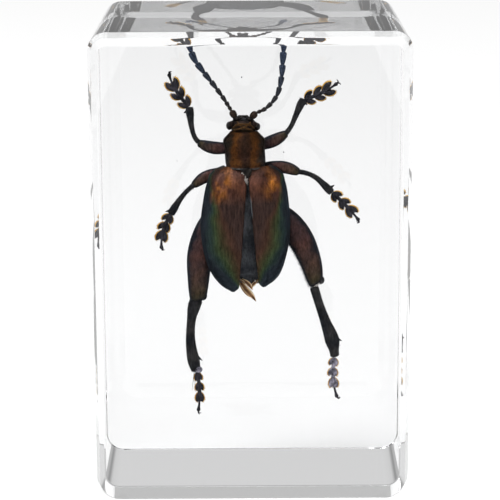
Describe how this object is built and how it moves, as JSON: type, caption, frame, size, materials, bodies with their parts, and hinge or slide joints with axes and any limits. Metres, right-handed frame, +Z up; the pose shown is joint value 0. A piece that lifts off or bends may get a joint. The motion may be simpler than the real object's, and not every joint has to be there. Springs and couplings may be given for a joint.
{
  "type": "beetle in resin block",
  "caption": "Upright block of clear resin with round corners and a bevelled front, with a thick-legged leaf beetle sealed inside, its wing cases to the front.",
  "frame": {"origin": "centre of the block's base, on the surface it stands on", "axes": "+Z up along the block's height and the beetle's body, +X to the right seen from the front, the beetle's wing cases face -Y"},
  "size_m": [0.0292, 0.0256, 0.0441],
  "materials": {
    "clear_resin": "water-clear casting resin, polished on every face",
    "beetle_shell": "dark copper-brown insect shell with a green and blue metallic sheen"
  },
  "bodies": {
    "root": {"resin_front_half": "clear_resin", "resin_back_half": "clear_resin", "beetle": "beetle_shell"}
  },
  "joints": []
}
